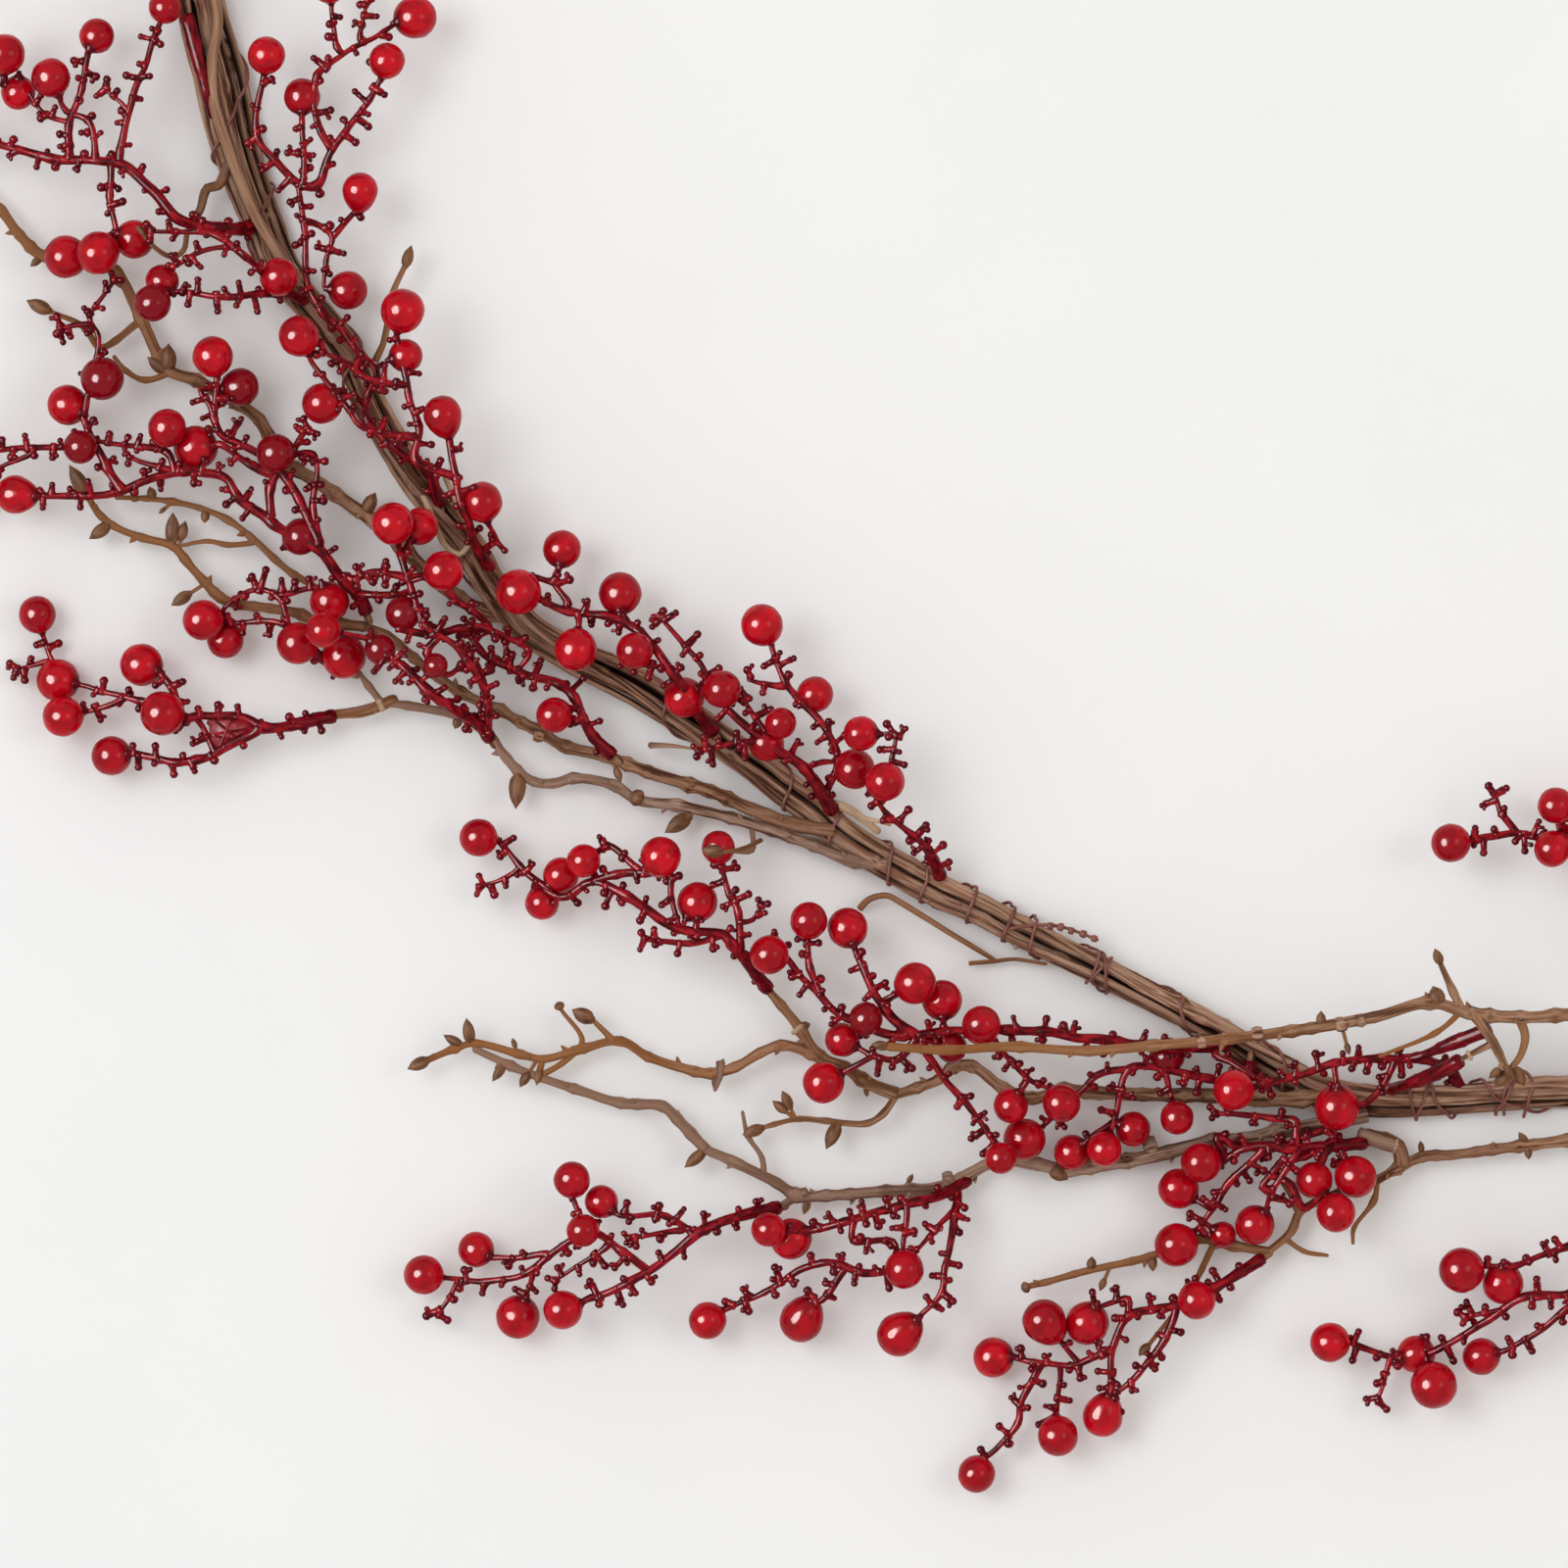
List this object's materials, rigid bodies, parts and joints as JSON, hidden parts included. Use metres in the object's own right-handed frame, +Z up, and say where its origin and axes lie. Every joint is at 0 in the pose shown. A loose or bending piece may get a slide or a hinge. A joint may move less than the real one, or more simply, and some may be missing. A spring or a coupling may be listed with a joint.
{
  "type": "holly berry garland",
  "caption": "Artificial garland of twisted brown vine strands tied with wire, with budded twigs and moulded red sprays of stems, nubs and glossy berries, lying flat in a curve",
  "frame": {"origin": "on the surface that the garland lies on, under the middle of its vine, where the vine rests", "axes": "+Z up, away from the surface; +X along the vine towards its right end where it crosses the origin, +Y across it in the surface"},
  "size_m": [0.7102, 0.6602, 0.0351],
  "materials": {
    "bark": "taupe brown moulded bark with lengthwise dark streaks",
    "wire": "thin reddish brown florist wire",
    "twig": "olive to grey brown moulded twig, matt",
    "berry": "glossy red lacquer on berries, darker crimson on stems"
  },
  "bodies": {
    "root": {"vine_strand_1": "bark", "vine_strand_2": "bark", "vine_strand_3": "bark", "binding_wire": "wire", "twig_left": "twig", "twig_long_upper": "twig", "twig_long_lower": "twig", "twig_base": "twig", "twig_lower": "twig", "twig_top": "twig", "twig_right": "twig", "twig_repeat_1": "twig", "twig_repeat_2": "twig", "twig_repeat_3": "twig", "spray_a": "berry", "spray_b": "berry", "spray_c": "berry", "spray_d": "berry", "spray_e": "berry", "spray_f": "berry", "spray_g": "berry", "spray_h": "berry", "spray_i": "berry", "spray_j": "berry", "spray_k": "berry", "spray_l": "berry", "spray_m": "berry", "spray_n": "berry", "spray_o": "berry", "spray_p": "berry", "spray_q": "berry", "spray_r": "berry", "spray_s": "berry", "spray_t": "berry", "spray_u": "berry", "spray_v": "berry", "spray_repeat_1": "berry", "spray_repeat_2": "berry", "spray_repeat_3": "berry", "spray_repeat_4": "berry", "spray_repeat_5": "berry", "spray_repeat_6": "berry", "spray_repeat_7": "berry", "spray_repeat_8": "berry", "spray_repeat_9": "berry", "spray_repeat_10": "berry"}
  },
  "joints": []
}
